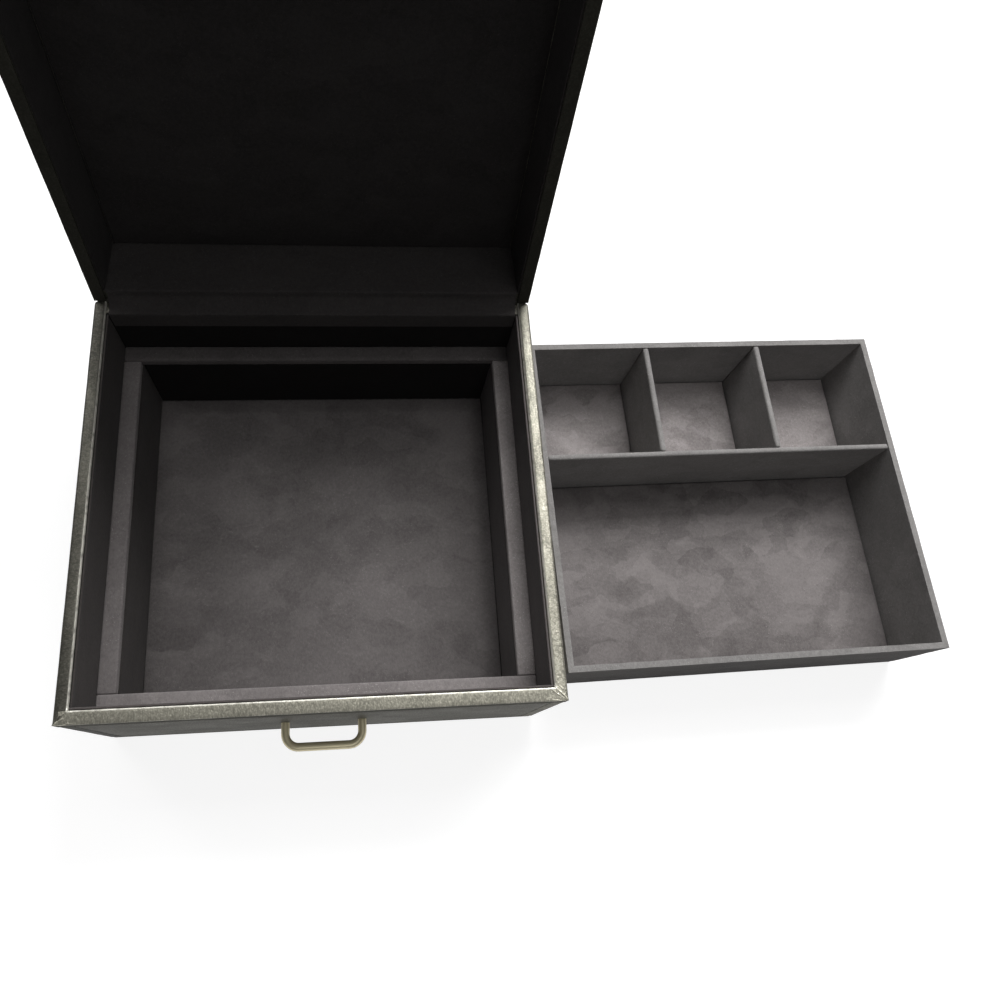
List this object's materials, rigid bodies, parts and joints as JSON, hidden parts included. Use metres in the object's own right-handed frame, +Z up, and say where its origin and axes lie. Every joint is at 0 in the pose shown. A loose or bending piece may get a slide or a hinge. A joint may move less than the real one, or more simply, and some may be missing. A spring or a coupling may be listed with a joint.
{
  "type": "cufflink and jewellery box with drawer and lift-out tray",
  "caption": "Leather-covered square box with a deep hinged lid, a drawer with a metal loop handle, suede linings and a divided lift-out tray.",
  "frame": {"origin": "middle of the underside of the case, on the surface it stands on", "axes": "+X to the right as seen from the drawer, +Y from the drawer front to the hinge, +Z up; the lid stands open and the tray stands beside the case at +X"},
  "size_m": [0.494, 0.3294, 0.3286],
  "materials": {
    "leather": "grained, slight metallic sheen",
    "suede": "brushed suede cloth over board",
    "felt": "felt",
    "brass": "satin, pale gold",
    "steel": "plated",
    "board": "dark-papered fibreboard"
  },
  "bodies": {
    "case": {"base_felt": "felt", "base_board": "leather", "case_left_side": "leather", "case_right_side": "leather", "case_back": "leather", "front_rail": "leather", "case_left_lining": "suede", "case_right_lining": "suede", "case_front_lining": "suede", "case_back_lining": "suede", "ledge_front": "suede", "ledge_back": "suede", "ledge_left": "suede", "ledge_right": "suede", "drawer_guide_left": "board", "drawer_guide_right": "board", "drawer_guide_back": "board", "drawer_stops": "board", "hinge_case_leaf": "steel", "hinge_pin": "steel", "hinge_case_screws": "steel", "hinge_flap_lower": "suede"},
    "drawer": {"drawer_front": "leather", "drawer_inner_front": "suede", "drawer_left_side": "suede", "drawer_right_side": "suede", "drawer_back": "suede", "drawer_bottom": "board", "drawer_pad": "suede", "handle": "brass", "handle_screws": "steel"},
    "lid": {"lid_top": "leather", "lid_left_side": "leather", "lid_right_side": "leather", "lid_front": "leather", "lid_back": "leather", "lid_left_lining": "suede", "lid_right_lining": "suede", "lid_front_lining": "suede", "lid_back_lining": "suede", "lid_pad": "suede", "hinge_lid_leaf": "steel", "hinge_lid_screws": "steel", "hinge_flap_upper": "suede"},
    "tray": {"tray_bottom": "suede", "tray_left_side": "suede", "tray_right_side": "suede", "tray_front": "suede", "tray_back": "suede", "tray_row_divider": "suede", "tray_left_divider": "suede", "tray_right_divider": "suede", "tray_front_pad": "suede", "tray_left_pad": "suede", "tray_middle_pad": "suede", "tray_right_pad": "suede"}
  },
  "joints": [
    {"name": "lid_hinge", "type": "hinge", "parent": "case", "child": "lid", "pos_m": [0, 0.116, 0.1002], "axis": [1, 0, 0], "range_deg": [0, 99.8]},
    {"name": "drawer_slide", "type": "slide", "parent": "case", "child": "drawer", "axis": [0, -1, 0], "range_m": [0, 0.196]},
    {"name": "tray_lift", "type": "slide", "parent": "case", "child": "tray", "axis": [0, 0, 1], "range_m": [0, 0.15]}
  ]
}
